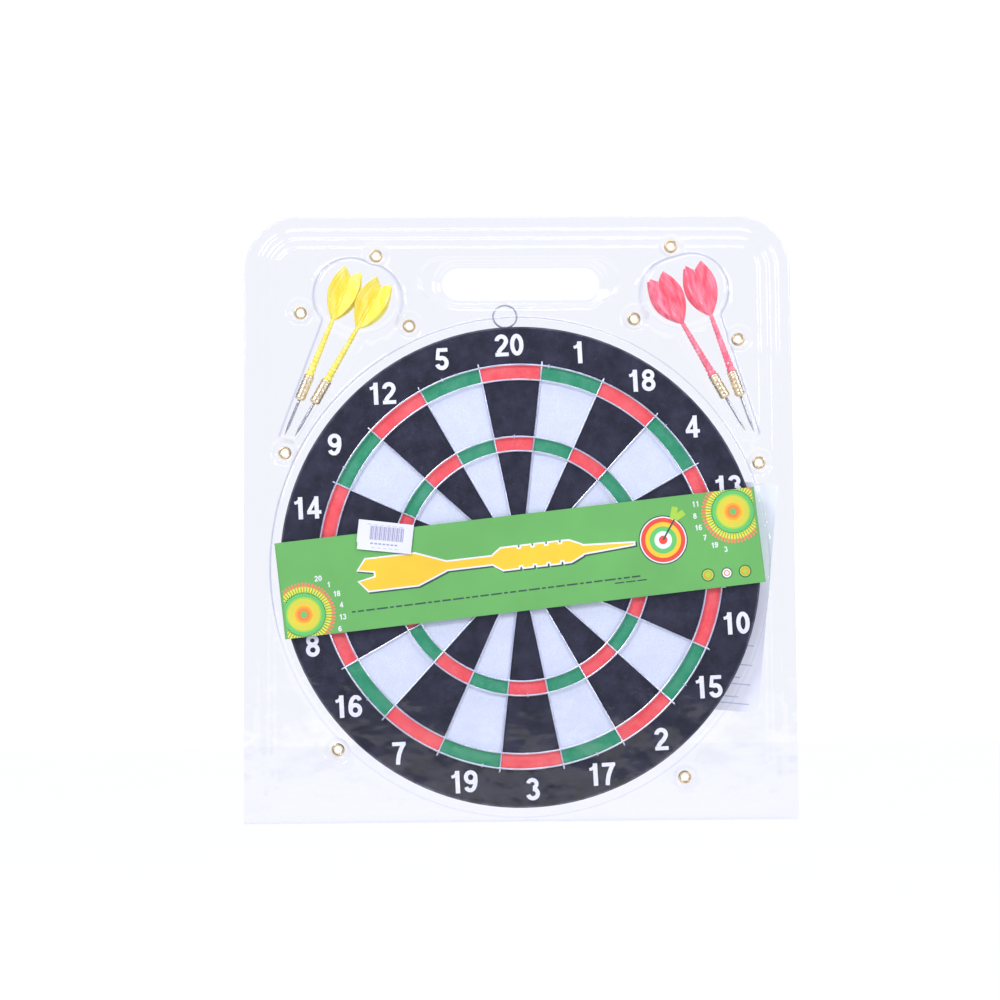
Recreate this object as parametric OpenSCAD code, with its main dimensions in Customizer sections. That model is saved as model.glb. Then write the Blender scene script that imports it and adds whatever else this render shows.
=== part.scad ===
// Steel-tip dart set: a wound-paper dartboard, four darts and a leaflet in a clear folded pack.
// The origin is on the pack's back face, straight behind the bull's-eye.
// X runs to the right, the front faces -Y and Z runs up.
// Depths are measured forward from the back face, so a depth d lies at Y = -d.

/* [Pack] */
// Width of the pack
pack_w = 441; // [430:1:460]
// Height of the pack's top edge above the bull
pack_top = 283; // [278:1:300]
// Radius of the two top corners
corner_r = 44; // [34:1:60]
// Thickness of the clear sheet
sheet_t = 0.5; // [0.4:0.05:0.6]
// Depth of the general raised face of the cover
cover_d = 8; // [7.5:0.5:9]
// Radius of the round pocket over the board
board_pocket_r = 198; // [197.5:0.5:199]

/* [Handle] */
// Length of the carry opening
handle_l = 127; // [100:1:135]
// Height of the carry opening
handle_h = 26; // [22:1:28]

/* [Board] */
// Diameter of the board
board_dia = 381; // [376:1:384]
// Thickness of the wound-paper board
board_t = 16; // [12:1:16]
// Turn of the board in its pocket, anticlockwise, in degrees
board_turn = 2.6; // [-5:0.1:5]
// Diameter of the spider wire
wire_dia = 1.4; // [1.2:0.1:1.6]

/* [Band] */
// Width of the card band
band_w = 76; // [60:1:90]
// Slope of the card band in degrees
band_slope = 6.4; // [0:0.1:8]

/* [Darts] */
// Length of a dart from point to tail
dart_l = 143; // [138:1:144]
// Diameter of the brass barrel
barrel_dia = 8.4; // [8:0.1:9]
// Reach of one flight fin from the dart's axis
fin_r = 16.3; // [14:0.1:16.5]

/* [Hidden] */
$fn = 96;

// The fold that joins the two halves of the pack runs along its bottom edge
pack_bottom = -203;
fold_bead_r = 0.4;
fold_d = 0.65;
fold_z = pack_bottom + fold_bead_r;
fold_clearance = 1;

// Cover: the flat rim, then three terraces, each given by its inset from the edge and its depth
rim_d = 0.8;
rim_face_d = rim_d + sheet_t;
terraces = [[10.5, cover_d - 4.5], [18, cover_d - 2], [26, cover_d]];
over_the_top = 60;

// Carry opening and the stepped recess around it
handle_at = [2.4, 227.5];
handle_land = 2.6;
handle_recess_at = [0.6, 230.5];
handle_recess_l = 162;
handle_recess_h = 36;
handle_recess_d = 4.5;

// Ten eyelets, each as x and z of its axis
eyelet_at = [
    [-114.5, 251], [-175.5, 205], [-88, 194], [-188, 92], [-146, -145],
    [124, 258], [177.5, 182], [93.5, 199], [193, 82], [130, -169]
];
eyelet_bore_r = 3.2;
eyelet_barrel_r = 3.9;
eyelet_flange_r = 5.15;
eyelet_flange_t = 0.6;
eyelet_pad_r = 6.5;
dimple_r = 7;
pad_d = 0.7;
pad_face_d = pad_d + sheet_t;
dimple_d = pad_face_d + 0.3;
dimple_face_d = dimple_d + sheet_t;
cover_hole_r = eyelet_barrel_r + 0.05;
pad_hole_r = eyelet_barrel_r + 0.4;
washer_d = 0.1;

// Board and its layers, from the back sheet forward
board_r = board_dia / 2;
board_d = 2;
board_face_d = board_d + board_t;
weld_sink = 0.1;
radial_d = board_face_d + wire_dia / 2;
ring_d = radial_d + wire_dia - weld_sink;
staple_wire = 0.7;
staple_crown_d = ring_d + wire_dia / 2 + staple_wire / 2;
beds = 20;
bed_angle = 360 / beds;
double_outer_r = board_r * 0.84;
double_inner_r = board_r * 0.777;
treble_outer_r = board_r * 0.538;
treble_inner_r = board_r * 0.478;
outer_bull_r = 15;
bull_r = 7;
radial_overrun = 3;
// How far each hand-driven staple sits from the middle of its bed, in degrees, by bed
double_staple_drift = [7, 5, 0, -3, 1, 4, 2, 0, 4, 2];
staple_leg_in = 5;

// Hanging ring on the rim
ring_x = -10.9;
ring_wire = 1.4;
ring_mean_r = 9.5;
ring_plane_d = 5;
ring_pivot_z = 191.2;

// Card band around the board
card_t = 0.4;
band_back_d = 1.5;
band_front_d = staple_crown_d + staple_wire / 2 + 0.2;
band_half = board_r + 0.4;
band_bend_r = 2;
band_shift = 2.2;
board_pocket_d = band_front_d + card_t + 0.7 + sheet_t;

// Leaflet behind the board
leaflet_corner = [189.2, -119.1];
leaflet_w = 128;
leaflet_h = 183.9;
leaflet_lean = 5.9;
leaflet_d = 0.8;
leaflet_t = 0.3;

// Two overlapping paper labels on the cover's front
label_t = 0.15;
label_at = [-127.7, 37.4];
label_size = [43.6, 18];
label_slope = -6.6;
overlay_at = [-129.4, 13.8];
overlay_size = [42.7, 15];
overlay_slope = -5.8;

// Darts, each as x and z of its point and its lean from upright in degrees
darts = [[-187, 105, 22.5], [-179, 104, 30], [180.5, 107, -29.6], [187.5, 106, -19.5]];
barrel_z = 30.4;
barrel_l = 21;
stem_z = barrel_z + barrel_l;
fin_z = 100;
fin_l = dart_l - fin_z;
dart_d = 13;
fin_t = 0.7;
point_r = 1.1;
point_taper = 9;
point_seat = 8;
plug_r = 1.6;
plug_l = 9;
groove_count = 6;
groove_depth = 0.3;

// Pockets over the darts
channel_r = 5.5;
channel_far_r = 9;
channel_d = dart_d + barrel_dia / 2 + 1.3 + sheet_t;
bulge_r = 29.5;
bulge_z = 123.5;
bulge_half = 6;
tangent_share = 0.98;
bulge_d = dart_d + fin_r * sqrt(0.5) + 1.3 + sheet_t;

// Turns a flat drawing (x right, y up) to stand at a depth, with its own z facing forward
module at_depth(d) {
    translate([0, -d, 0]) rotate([90, 0, 0]) children();
}

// A flat outline filled between two depths
module slab(near, far) {
    at_depth(near) linear_extrude(far - near) children();
}

// Slot outline with round ends, centred on a place
module slot_outline(at, l, h) {
    translate(at) {
        square([l - h, h], center = true);
        for (side = [-1, 1]) translate([side * (l - h) / 2, 0]) circle(h / 2);
    }
}

// Two circles joined by straight sides that meet them just inside their outer tangents
module capsule_outline(a, b, ra, rb) {
    along = (b - a) / norm(b - a);
    across = [-along[1], along[0]] * tangent_share;
    polygon([a + across * ra, b + across * rb, b - across * rb, a - across * ra]);
    translate(a) circle(ra);
    translate(b) circle(rb);
}

// Pack outline with round top corners and square bottom corners
module pack_outline(inset) {
    half = pack_w / 2 - inset;
    r = corner_r - inset;
    low = pack_bottom + inset;
    high = pack_top - inset;
    translate([-half, low]) square([2 * half, high - r - low]);
    translate([r - half, high - r]) square([2 * (half - r), r]);
    for (side = [-1, 1]) translate([side * (half - r), high - r]) circle(r);
}

// Place on a dart's axis, at a distance from its point
function dart_axis(i, s) = [darts[i][0] + s * sin(darts[i][2]), darts[i][1] + s * cos(darts[i][2])];

// Straight channel over two darts' points, barrels and stems
module channel_outline(first, skin) {
    for (i = [first, first + 1])
        capsule_outline(dart_axis(i, 0), dart_axis(i, fin_z), channel_r - skin, channel_far_r - skin);
    polygon([
        dart_axis(first, 0), dart_axis(first + 1, 0),
        dart_axis(first + 1, fin_z), dart_axis(first, fin_z)
    ]);
}

// Round-ended bulge over two darts' flights
module bulge_outline(first, skin) {
    a = dart_axis(first, bulge_z);
    b = dart_axis(first + 1, bulge_z);
    middle = (a + b) / 2;
    step = (b - a) / norm(b - a) * bulge_half;
    capsule_outline(middle - step, middle + step, bulge_r - skin, bulge_r - skin);
}

// Space behind the cover's outer face, or behind its inner face when skin is the sheet's thickness
module cover_volume(skin) {
    start = skin > 0 ? 0 : rim_d;
    difference() {
        union() {
            for (step = terraces) slab(start, step[1] - skin) pack_outline(step[0] + skin);
            slab(start, board_pocket_d - skin) circle(board_pocket_r - skin);
            for (first = [0, 2]) {
                slab(start, channel_d - skin) channel_outline(first, skin);
                slab(start, bulge_d - skin) bulge_outline(first, skin);
            }
        }
        slab(handle_recess_d - skin, over_the_top)
            slot_outline(handle_recess_at, handle_recess_l + 2 * skin, handle_recess_h + 2 * skin);
        slab(rim_face_d - skin, over_the_top)
            slot_outline(
                handle_at,
                handle_l + 2 * (handle_land + skin),
                handle_h + 2 * (handle_land + skin)
            );
        for (p = eyelet_at)
            slab(dimple_face_d - skin, over_the_top) translate(p) circle(dimple_r + skin);
    }
}

// Clear cover with pockets for the board and the darts
module front_shell() {
    color([0.85, 0.9, 1, 0.35])
    difference() {
        union() {
            slab(rim_d, rim_face_d) pack_outline(0);
            cover_volume(0);
        }
        cover_volume(sheet_t);
        slab(-1, over_the_top) slot_outline(handle_at, handle_l, handle_h);
        for (p = eyelet_at) slab(-1, over_the_top) translate(p) circle(cover_hole_r);
        translate([-pack_w, -over_the_top, pack_bottom - 1])
            cube([2 * pack_w, over_the_top + 1, 1 + fold_bead_r + fold_clearance]);
    }
}

// Clear flat back sheet with the bead of the fold along its bottom edge
module back_shell() {
    color([0.8, 0.87, 1, 0.35]) {
        difference() {
            union() {
                slab(0, sheet_t) pack_outline(0);
                for (p = eyelet_at) slab(0, pad_face_d) translate(p) circle(eyelet_pad_r + sheet_t);
                translate([-pack_w / 2, -fold_d, fold_z]) rotate([0, 90, 0]) cylinder(r = fold_bead_r, h = pack_w);
            }
            for (p = eyelet_at) {
                slab(-1, pad_d) translate(p) circle(eyelet_pad_r);
                slab(-1, over_the_top) translate(p) circle(pad_hole_r);
            }
            slab(-1, over_the_top) slot_outline(handle_at, handle_l, handle_h);
        }
    }
}

// Brass eyelets through the cover and the back sheet
module eyelets() {
    color([0.8, 0.66, 0.36])
    for (p = eyelet_at)
        difference() {
            union() {
                slab(dimple_face_d, dimple_face_d + eyelet_flange_t) translate(p) circle(eyelet_flange_r);
                slab(washer_d, dimple_face_d + eyelet_flange_t) translate(p) circle(eyelet_barrel_r);
            }
            slab(-1, over_the_top) translate(p) circle(eyelet_bore_r);
        }
}

// Rings that the eyelets are clinched over, behind the back sheet
module eyelet_washers() {
    color([0.74, 0.6, 0.32])
    for (p = eyelet_at)
        slab(washer_d, pad_d)
            translate(p) difference() {
                circle(eyelet_flange_r);
                circle(pad_hole_r);
            }
}

// Paper label on the cover's front, over the board
module price_label() {
    color([0.97, 0.97, 1])
    slab(board_pocket_d, board_pocket_d + label_t)
        translate(label_at) rotate(label_slope) translate([0, -label_size[1]]) square(label_size);
}

// Second paper label, laid over the first one's lower edge
module price_label_overlay() {
    color([0.93, 0.94, 1])
    slab(board_pocket_d + label_t, board_pocket_d + 2 * label_t)
        translate(overlay_at) rotate(overlay_slope) square(overlay_size);
}

// Folded paper leaflet behind the board
module leaflet() {
    color([0.95, 0.96, 1])
    slab(leaflet_d, leaflet_d + leaflet_t)
        translate(leaflet_corner) rotate(-leaflet_lean) translate([-leaflet_w, 0]) square([leaflet_w, leaflet_h]);
}

// Section of the band: a box with round bends, drawn around the board's thickness
module band_section(grow) {
    near = band_back_d - grow;
    far = band_front_d + grow;
    half = band_half + grow;
    r = band_bend_r + grow;
    translate([-half + r, -far]) square([2 * (half - r), far - near]);
    translate([-half, -far + r]) square([2 * half, far - near - 2 * r]);
    for (side = [-1, 1])
        for (d = [near + r, far - r]) translate([side * (half - r), -d]) circle(r);
}

// Printed card band that wraps the board
module belly_band() {
    color([0.42, 0.76, 0.4])
    rotate([0, -band_slope, 0]) translate([0, 0, band_shift - band_w / 2])
        linear_extrude(band_w) difference() {
            band_section(card_t);
            band_section(0);
        }
}

// Board of tightly wound paper strip
module board_core() {
    color([0.14, 0.14, 0.18])
    slab(board_d, board_face_d) circle(board_r);
}

// One round wire lying on the board
module wire_ring(r, wire, d) {
    color([0.72, 0.74, 0.8])
    at_depth(d) rotate_extrude() translate([r, 0]) circle(wire / 2, $fn = 24);
}

// Straight wires between the beds
module radial_wires() {
    color([0.72, 0.74, 0.8])
    at_depth(radial_d)
        for (i = [0 : beds - 1])
            rotate([0, 0, board_turn + bed_angle * (i + 0.5) + 90])
                translate([outer_bull_r, 0, 0])
                    rotate([0, 90, 0])
                        cylinder(h = double_outer_r + radial_overrun - outer_bull_r, d = wire_dia, $fn = 24);
}

// Wire staple over a wire that passes along y: two legs going back from the crown
module staple(gap, leg) {
    for (side = [-1, 1])
        translate([side * gap / 2, 0, -leg]) cylinder(h = leg, d = staple_wire, $fn = 24);
    rotate([0, 90, 0]) cylinder(h = gap, d = staple_wire, center = true, $fn = 24);
    for (side = [-1, 1]) translate([side * gap / 2, 0, 0]) sphere(d = staple_wire, $fn = 24);
}

// Staples that hold the outer double wire and the outer treble wire
module wire_staples() {
    gap = wire_dia + staple_wire + 0.2;
    leg = staple_crown_d - board_face_d + staple_leg_in;
    color([0.78, 0.8, 0.84])
    at_depth(staple_crown_d) {
        for (i = [0 : len(double_staple_drift) - 1])
            rotate([0, 0, board_turn - bed_angle * (2 * i + 1) + double_staple_drift[i] + 90])
                translate([double_outer_r, 0, 0]) staple(gap, leg);
        for (i = [0 : 3])
            rotate([0, 0, board_turn + 90 * (i + 1)])
                translate([treble_outer_r, 0, 0]) staple(gap, leg);
    }
}

// Wire ring that hangs the board on a nail
module hanging_ring() {
    color([0.62, 0.63, 0.7])
    translate([ring_x, 0, ring_pivot_z + ring_mean_r])
        at_depth(ring_plane_d) rotate_extrude() translate([ring_mean_r, 0]) circle(ring_wire / 2, $fn = 24);
}

// Staple in the rim that the hanging ring turns in
module hanger_staple() {
    gap = ring_wire + staple_wire + 0.6;
    color([0.62, 0.63, 0.7])
    translate([ring_x, -ring_plane_d, ring_pivot_z + ring_wire / 2 + 0.3 + staple_wire / 2])
        rotate([0, 0, 90]) staple(gap, 10);
}

// Stands a dart drawn upward from its point in its place
module at_dart(i) {
    translate([darts[i][0], -dart_d, darts[i][1]]) rotate([0, darts[i][2], 0]) children();
}

// Steel point, seated in the barrel's nose
module dart_point(i) {
    color([0.7, 0.7, 0.74])
    at_dart(i) rotate_extrude()
        polygon([
            [0, 0], [0.15, 0.1], [point_r, point_taper],
            [point_r, barrel_z + point_seat], [0, barrel_z + point_seat]
        ]);
}

// Turned brass barrel with grip grooves
module dart_barrel(i) {
    r = barrel_dia / 2;
    pitch = (barrel_l - 5) / groove_count;
    grooves = [
        for (k = [0 : groove_count - 1])
            for (corner = [[0, 0], [0.25, -groove_depth], [0.5, -groove_depth], [0.75, 0]])
                [r + corner[1], 3 + pitch * (k + corner[0])]
    ];
    color([0.82, 0.7, 0.42])
    at_dart(i) translate([0, 0, barrel_z]) rotate_extrude() difference() {
        polygon(concat([[0, 0], [r - 1.2, 0], [r, 1.8]], grooves, [[r, barrel_l - 1], [r - 0.6, barrel_l], [0, barrel_l]]));
        translate([-1, -1]) square([1 + point_r + 0.03, 1 + point_seat + 0.1]);
        translate([-1, barrel_l - plug_l - 0.3]) square([1 + plug_r + 0.03, plug_l + 1]);
    }
}

// Edge of a fin: reach from the axis at a fraction of the fin's length
function fin_edge(t) = 1.8 + (fin_r - 1.8) * sin(147 * pow(t, 0.85));

// Moulded stem and four-fin flight in one piece
module dart_flight(i) {
    steps = 18;
    side = [for (k = [0 : steps]) [fin_edge(k / steps), fin_z + fin_l * k / steps]];
    other_side = [for (k = [0 : steps]) [-side[steps - k][0], side[steps - k][1]]];
    notch = [[0, dart_l - 5]];
    color(i < 2 ? [1, 0.82, 0.05] : [0.93, 0.15, 0.25])
    at_dart(i) {
        rotate_extrude()
            polygon([
                [0, stem_z - plug_l], [plug_r, stem_z - plug_l], [plug_r, stem_z], [3.4, stem_z],
                [1.8, fin_z], [1, dart_l - 6], [0, dart_l - 6]
            ]);
        for (turn = [45, 135])
            rotate([0, 0, turn]) rotate([90, 0, 0])
                linear_extrude(fin_t, center = true) polygon(concat(side, notch, other_side));
    }
}

back_shell();
front_shell();
eyelets();
eyelet_washers();
price_label();
price_label_overlay();
leaflet();
belly_band();
board_core();
wire_ring(double_outer_r, wire_dia, ring_d);  // double_outer_wire
wire_ring(double_inner_r, wire_dia, ring_d);  // double_inner_wire
wire_ring(treble_outer_r, wire_dia, ring_d);  // treble_outer_wire
wire_ring(treble_inner_r, wire_dia, ring_d);  // treble_inner_wire
wire_ring(outer_bull_r, wire_dia, ring_d);  // outer_bull_wire
wire_ring(bull_r, wire_dia, radial_d);  // bull_wire
radial_wires();
wire_staples();
hanging_ring();
hanger_staple();
dart_point(0);  // dart_1_point
dart_barrel(0);  // dart_1_barrel
dart_flight(0);  // dart_1_flight
dart_point(1);  // dart_2_point
dart_barrel(1);  // dart_2_barrel
dart_flight(1);  // dart_2_flight
dart_point(2);  // dart_3_point
dart_barrel(2);  // dart_3_barrel
dart_flight(2);  // dart_3_flight
dart_point(3);  // dart_4_point
dart_barrel(3);  // dart_4_barrel
dart_flight(3);  // dart_4_flight
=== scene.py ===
import math
import bmesh, bpy
from mathutils import Matrix, Vector, noise
from mathutils.geometry import delaunay_2d_cdt


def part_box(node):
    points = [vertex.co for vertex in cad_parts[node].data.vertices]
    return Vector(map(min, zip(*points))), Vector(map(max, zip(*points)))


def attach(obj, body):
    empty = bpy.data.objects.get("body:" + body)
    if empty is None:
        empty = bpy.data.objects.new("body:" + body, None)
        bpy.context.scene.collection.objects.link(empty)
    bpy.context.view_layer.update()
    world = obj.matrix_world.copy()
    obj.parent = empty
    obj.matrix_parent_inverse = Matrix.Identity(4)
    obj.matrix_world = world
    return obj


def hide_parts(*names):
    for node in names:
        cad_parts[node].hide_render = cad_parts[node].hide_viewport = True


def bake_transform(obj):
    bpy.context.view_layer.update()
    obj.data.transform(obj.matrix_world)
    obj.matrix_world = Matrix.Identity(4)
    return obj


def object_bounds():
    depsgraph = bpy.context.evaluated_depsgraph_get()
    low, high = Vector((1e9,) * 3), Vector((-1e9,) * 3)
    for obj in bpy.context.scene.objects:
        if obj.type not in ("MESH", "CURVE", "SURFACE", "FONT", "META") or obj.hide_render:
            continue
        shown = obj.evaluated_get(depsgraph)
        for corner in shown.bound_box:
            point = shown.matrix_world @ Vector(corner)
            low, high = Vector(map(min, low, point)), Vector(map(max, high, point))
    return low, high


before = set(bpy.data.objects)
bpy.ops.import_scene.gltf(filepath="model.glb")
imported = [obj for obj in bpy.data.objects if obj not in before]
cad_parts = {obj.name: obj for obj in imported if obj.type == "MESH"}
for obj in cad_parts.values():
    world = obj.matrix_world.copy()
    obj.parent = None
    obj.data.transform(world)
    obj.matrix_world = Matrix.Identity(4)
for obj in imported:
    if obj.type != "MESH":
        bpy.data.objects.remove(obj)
cad_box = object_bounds()

# ---- Sizes in millimetres. Places are (x, z) on the front and a depth forward of the back face. ----
MM = 0.001
SHEET_T = 0.5
PACK_HALF = cad_box[1][0] / MM
PACK_TOP = cad_box[1][2] / MM
PACK_BOTTOM = cad_box[0][2] / MM
CORNER_R = 44
COVER_D = 8
TERRACES = [(10.5, 3.5), (18, 6), (26, COVER_D)]
RIM_D = 1.3
BOARD_POCKET_R = 198
BOARD_POCKET_D = 23.2
CHANNEL_D = 19
BULGE_D = 26.2
BULGE_R = 29.5
BULGE_Z = 123.5
BULGE_HALF = 6
HANDLE_AT = (2.4, 227.5)
HANDLE_HALF = 50.5
HANDLE_R = 13
HANDLE_LAND = 2.6
RECESS_AT = (0.6, 230.5)
RECESS_HALF = 63
RECESS_R = 18
RECESS_D = 4.5
EYELETS = [
    (-114.5, 251), (-175.5, 205), (-88, 194), (-188, 92), (-146, -145),
    (124, 258), (177.5, 182), (93.5, 199), (193, 82), (130, -169),
]
EYELET_HOLE_R = 3.95
DIMPLE_D = 2
PUCKER_R = 11.5
FOLD_D = 0.65
FOLD_Z = -202.6
COVER_LOW = -201.6
RIBS_Z = 215
MOULD_MARKS = [(199, -179), (92, -183.5), (-95, -185), (-203, -177), (-193.5, -173)]

DARTS = [(-187, 105, 22.5), (-179, 104, 30), (180.5, 107, -29.6), (187.5, 106, -19.5)]
DART_D = 13
BARREL_Z, BARREL_L, BARREL_R = 30.4, 21, 4.2
STEM_Z = BARREL_Z + BARREL_L
FIN_Z, DART_L = 100, 143
FIN_L = DART_L - FIN_Z
FIN_R = 16.3

BOARD_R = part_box("board_core")[1][2] / MM
BOARD_FACE_D = -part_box("board_core")[0][1] / MM
BOARD_TURN = 2.6
WIRE_R = 0.7
RADIAL_D = BOARD_FACE_D + WIRE_R
RING_D = RADIAL_D + 2 * WIRE_R - 0.1
DOUBLE_OUTER, DOUBLE_INNER = BOARD_R * 0.84, BOARD_R * 0.777
TREBLE_OUTER, TREBLE_INNER = BOARD_R * 0.538, BOARD_R * 0.478
OUTER_BULL, BULL = 15, 7
BEDS = 20
BED = 360 / BEDS
NUMBERS = [20, 1, 18, 4, 13, 6, 10, 15, 2, 17, 3, 19, 7, 16, 8, 11, 14, 9, 12, 5]
NUMBER_R = 176
NUMBER_H = 17.6
DIGIT_W = 0.56
STAPLE_R = 0.42
DOUBLE_STAPLE_DRIFT = [7, 5, 0, -3, 1, 4, 2, 0, 4, 2]

BAND_SLOPE = 6.4
BAND_W = 76
BAND_SHIFT = 2.2
BAND_HALF = BOARD_R + 0.8
BAND_FACE_D = -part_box("belly_band")[0][1] / MM

LABEL_MIDDLE = (-107, 26)
LABEL_TOP = ((-127.7, 37.4), -6.6)
LABEL_FOOT = ((-129.4, 13.8), -5.8)
LEAFLET_CORNER = ((189.2, -119.1), -5.9)
PICTURE_FROM, PICTURE_TO, PICTURE_V = -128, 90.7, 4.5
SUN_LEFT, SUN_RIGHT = (-174.4, -20.4), (172.1, 20.4)
TARGET_AT = (114.2, 4.5)
ICONS = [(146.1, -27.2, 5.2), (161.2, -27.4, 4.4), (175.7, -27.6, 5)]

CAMERA_AT = (-0.0512, -1.5576, -0.0392)
CAMERA_YAW, CAMERA_PITCH, CAMERA_ROLL = 1.303, 3.394, 0.425


def place(x, z, d):
    """A point of the frame, in metres, from its place on the front and its depth."""
    return Vector((x * MM, -d * MM, z * MM))


def smooth(a, b, v):
    """0 before a, 1 after b, and a smooth turn between them."""
    t = min(1.0, max(0.0, (v - a) / (b - a)))
    return t * t * (3 - 2 * t)


def mix(a, b, t):
    return a + (b - a) * t


def turned(x, z, degrees):
    """(x, z) turned anticlockwise about the bull."""
    c, s = math.cos(math.radians(degrees)), math.sin(math.radians(degrees))
    return x * c - z * s, x * s + z * c


def polar(at, r, a):
    """The point at a distance and an angle, in radians, from another."""
    return at[0] + r * math.cos(a), at[1] + r * math.sin(a)


def beside(r, off, a):
    """The point at a distance along an angle from the origin and off to the left of that line."""
    return r * math.cos(a) - off * math.sin(a), r * math.sin(a) + off * math.cos(a)


# ---- Making pieces ----
def face_outward(mesh):
    """Turns every face of closed shells outward."""
    bm = bmesh.new()
    bm.from_mesh(mesh)
    bmesh.ops.recalc_face_normals(bm, faces=bm.faces)
    bm.to_mesh(mesh)
    bm.free()


def mesh_object(name, verts, faces, materials, slots=None, smooth_faces=False, solid=True):
    """A mesh object. verts are in metres, slots is one material number a face."""
    mesh = bpy.data.meshes.new(name)
    mesh.from_pydata([tuple(v) for v in verts], [], faces)
    for m in materials:
        mesh.materials.append(m)
    if slots is not None:
        mesh.polygons.foreach_set("material_index", slots)
    mesh.polygons.foreach_set("use_smooth", [smooth_faces] * len(faces))
    mesh.update()
    if solid:
        face_outward(mesh)
    obj = bpy.data.objects.new(name, mesh)
    bpy.context.scene.collection.objects.link(obj)
    return obj


def piece(*args, body="pack", slot, replaces=(), smooth_faces=True, **settings):
    """A mesh object that rides on a body and stands for the CAD nodes it replaces. Its slot is not used."""
    obj = mesh_object(*args, smooth_faces=smooth_faces, **settings)
    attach(obj, body)
    if replaces:
        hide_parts(*replaces)
    return obj


class Build:
    """Collects vertices and faces with a material number for each face."""

    def __init__(self):
        self.verts, self.faces, self.slots = [], [], []

    def add(self, verts, faces, slot=0):
        base = len(self.verts)
        self.verts += verts
        self.faces += [tuple(base + i for i in f) for f in faces]
        self.slots += [slot] * len(faces)

    def lathe(self, profile, matrix, around=48, slot=0, loop=False, cuts=None, capped=False):
        """Turns (radius, height) points about z. A radius of 0 closes an end, as capped does for both,
        and loop closes the profile. cuts says how deep every other point of each ring is cut in."""
        verts, rings = [], []
        for j, (r, z) in enumerate(profile):
            if r <= 1e-9:
                rings.append([len(verts)])
                verts.append(matrix @ Vector((0, 0, z)))
            else:
                rings.append(range(len(verts), len(verts) + around))
                for k in range(around):
                    cut = cuts[j] if cuts and (k + j) % 2 else 0
                    verts.append(matrix @ Vector((*polar((0, 0), r - cut, 2 * math.pi * k / around), z)))
        faces = []
        for low, high in zip(rings, rings[1:] + rings[:1] if loop else rings[1:]):
            for k in range(around):
                n = (k + 1) % around
                if len(low) == 1:
                    faces.append((low[0], high[n], high[k]))
                elif len(high) == 1:
                    faces.append((low[k], low[n], high[0]))
                else:
                    faces.append((low[k], low[n], high[n], high[k]))
        if capped:
            faces += [tuple(reversed(rings[0])), tuple(rings[-1])]
        self.add(verts, faces, slot)

    def tube(self, path, r, sides=10, closed=False, slot=0, radii=None):
        """A round wire along points in metres, with flat ends or joined to itself."""
        n = len(path)
        verts, faces = [], []
        side = None
        for i, p in enumerate(path):
            before = path[i - 1] if i or closed else p
            after = path[(i + 1) % n] if i < n - 1 or closed else p
            along = (after - before).normalized()
            if side is None:
                side = along.cross(Vector((0, 1, 0)))
                if side.length < 1e-3:
                    side = along.cross(Vector((1, 0, 0)))
            side = (side - along * side.dot(along)).normalized()
            up = along.cross(side)
            radius = r if radii is None else radii[i]
            for k in range(sides):
                a = 2 * math.pi * k / sides
                verts.append(p + (side * math.cos(a) + up * math.sin(a)) * radius)
        for i in range(n if closed else n - 1):
            for k in range(sides):
                a, b = i * sides + k, i * sides + (k + 1) % sides
                c, d = (i + 1) % n * sides + k, (i + 1) % n * sides + (k + 1) % sides
                faces.append((a, b, d, c))
        if not closed:
            faces.append(tuple(reversed(range(sides))))
            faces.append(tuple(range((n - 1) * sides, n * sides)))
        self.add(verts, faces, slot)

    def plate(self, outline, near, far, lay, slot=0):
        """A flat closed plate. outline is (x, y) points, lay turns (x, y, depth) into a place."""
        n = len(outline)
        verts = [lay(x, y, far) for x, y in outline] + [lay(x, y, near) for x, y in outline]
        faces = [tuple(range(n)), tuple(reversed(range(n, 2 * n)))]
        faces += [(i, n + i, n + (i + 1) % n, (i + 1) % n) for i in range(n)]
        self.add(verts, faces, slot)

    def ribbon(self, left, right, near, far, lay, closed=False, slot=0):
        """A closed flat strip between two rows of (x, y) points."""
        n = len(left)
        verts = []
        for d in (far, near):
            verts += [lay(x, y, d) for x, y in left] + [lay(x, y, d) for x, y in right]
        faces = []
        for i in range(n if closed else n - 1):
            j = (i + 1) % n
            faces.append((i, n + i, n + j, j))
            faces.append((2 * n + i, 2 * n + j, 3 * n + j, 3 * n + i))
            faces.append((i, j, 2 * n + j, 2 * n + i))
            faces.append((n + i, 3 * n + i, 3 * n + j, n + j))
        if not closed:
            faces.append((0, 2 * n, 3 * n, n))
            faces.append((n - 1, 2 * n - 1, 4 * n - 1, 3 * n - 1))
        self.add(verts, faces, slot)

    def make(self, name, materials, **settings):
        return piece(name, self.verts, self.faces, materials, self.slots, **settings)


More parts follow.
